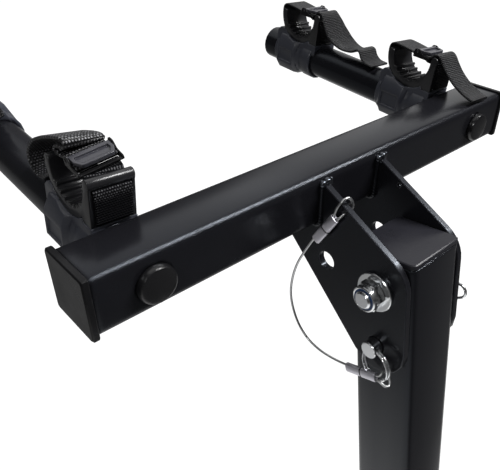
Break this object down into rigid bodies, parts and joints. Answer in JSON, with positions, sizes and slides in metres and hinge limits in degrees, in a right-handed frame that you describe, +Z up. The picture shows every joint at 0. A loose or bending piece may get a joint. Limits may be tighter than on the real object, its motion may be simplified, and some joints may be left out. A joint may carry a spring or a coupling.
{
  "type": "hitch bike rack",
  "caption": "Receiver-hitch bike rack: square shank, upright mast and a folding head with two support arms that carry strapped cradles for bicycle tubes.",
  "frame": {"origin": "underside of the shank, straight below the middle of its hitch-pin hole", "axes": "+X to the right seen from the vehicle's rear bumper looking back along the shank, +Y away from the vehicle, +Z up"},
  "size_m": [0.4012, 0.6293, 0.8886],
  "materials": {
    "black_powder_coat": "satin black powder coat",
    "bright_zinc": "bright zinc plate",
    "sleeve_aluminium": "dull, crimped",
    "steel_cable": "stranded, slightly dull",
    "blue_nylon": "dark blue",
    "black_plastic": "matte black",
    "moulded_nylon": "satin dark grey",
    "soft_liner": "matte dark grey",
    "webbing": "woven black"
  },
  "bodies": {
    "base": {"shank_tube": "black_powder_coat", "foot_plate_left": "black_powder_coat", "foot_plate_right": "black_powder_coat", "foot_bolt_lower": "bright_zinc", "foot_bolt_upper": "bright_zinc", "foot_nut_lower": "bright_zinc", "foot_nut_upper": "bright_zinc", "mast_tube": "black_powder_coat", "mast_top_cap": "black_plastic", "pivot_bolt": "bright_zinc", "pivot_nut": "bright_zinc", "pivot_nut_ring": "blue_nylon", "pivot_washer_left": "bright_zinc", "pivot_washer_right": "bright_zinc", "pivot_spacer_left": "black_plastic", "pivot_spacer_right": "black_plastic", "lock_pin_middle": "bright_zinc"},
    "head": {"lock_pin_head": "bright_zinc", "lock_pin_tail": "bright_zinc", "lock_pin_ring": "bright_zinc", "hairpin_clip": "bright_zinc", "lanyard_cable": "steel_cable", "lanyard_sleeve_upper": "sleeve_aluminium", "lanyard_sleeve_lower": "sleeve_aluminium", "crossbar_tube": "black_powder_coat", "crossbar_cap_left": "black_plastic", "crossbar_cap_right": "black_plastic", "side_plate_left": "black_powder_coat", "side_plate_right": "black_powder_coat", "arm_tube_left": "black_powder_coat", "arm_tube_right": "black_powder_coat", "arm_plug_left": "black_plastic", "arm_plug_right": "black_plastic", "arm_end_cap_left": "black_plastic", "arm_end_cap_right": "black_plastic", "cradle_body_left_front": "moulded_nylon", "cradle_body_left_rear": "moulded_nylon", "cradle_body_right_front": "moulded_nylon", "cradle_body_right_rear": "moulded_nylon", "cradle_liner_left_front": "soft_liner", "cradle_liner_left_rear": "soft_liner", "cradle_liner_right_front": "soft_liner", "cradle_liner_right_rear": "soft_liner", "strap_left_front": "webbing", "strap_left_rear": "webbing", "strap_right_front": "webbing", "strap_right_rear": "webbing", "buckle_strap_left_front": "webbing", "buckle_strap_left_rear": "webbing", "buckle_strap_right_front": "webbing", "buckle_strap_right_rear": "webbing", "buckle_frame_left_front": "black_plastic", "buckle_frame_left_rear": "black_plastic", "buckle_frame_right_front": "black_plastic", "buckle_frame_right_rear": "black_plastic"},
    "lever_left_front": {"buckle_lever_left_front": "black_plastic"},
    "lever_left_rear": {"buckle_lever_left_rear": "black_plastic"},
    "lever_right_front": {"buckle_lever_right_front": "black_plastic"},
    "lever_right_rear": {"buckle_lever_right_rear": "black_plastic"}
  },
  "joints": [
    {"name": "arm_fold", "type": "hinge", "parent": "base", "child": "head", "pos_m": [0, 0.25, 0.7412], "axis": [-1, 0, 0], "range_deg": [0, 98]},
    {"name": "buckle_left_front", "type": "hinge", "parent": "head", "child": "lever_left_front", "pos_m": [-0.15825, 0.34801, 0.85623], "axis": [-0.9897, 0.0606, -0.1299], "range_deg": [0, 65], "stiffness_Nm_per_rad": 0.02, "springref_deg": -17.19},
    {"name": "buckle_left_rear", "type": "hinge", "parent": "head", "child": "lever_left_rear", "pos_m": [-0.17986, 0.50625, 0.87841], "axis": [-0.9135, 0.079, -0.399], "range_deg": [0, 65], "stiffness_Nm_per_rad": 0.02, "springref_deg": -17.19},
    {"name": "buckle_right_front", "type": "hinge", "parent": "head", "child": "lever_right_front", "pos_m": [0.16382, 0.35196, 0.85194], "axis": [-0.9976, -0.0135, 0.0684], "range_deg": [0, 65], "stiffness_Nm_per_rad": 0.02, "springref_deg": -17.19},
    {"name": "buckle_right_rear", "type": "hinge", "parent": "head", "child": "lever_right_rear", "pos_m": [0.16299, 0.48899, 0.87912], "axis": [-0.9986, -0.0102, 0.0513], "range_deg": [0, 65], "stiffness_Nm_per_rad": 0.02, "springref_deg": -17.19}
  ]
}
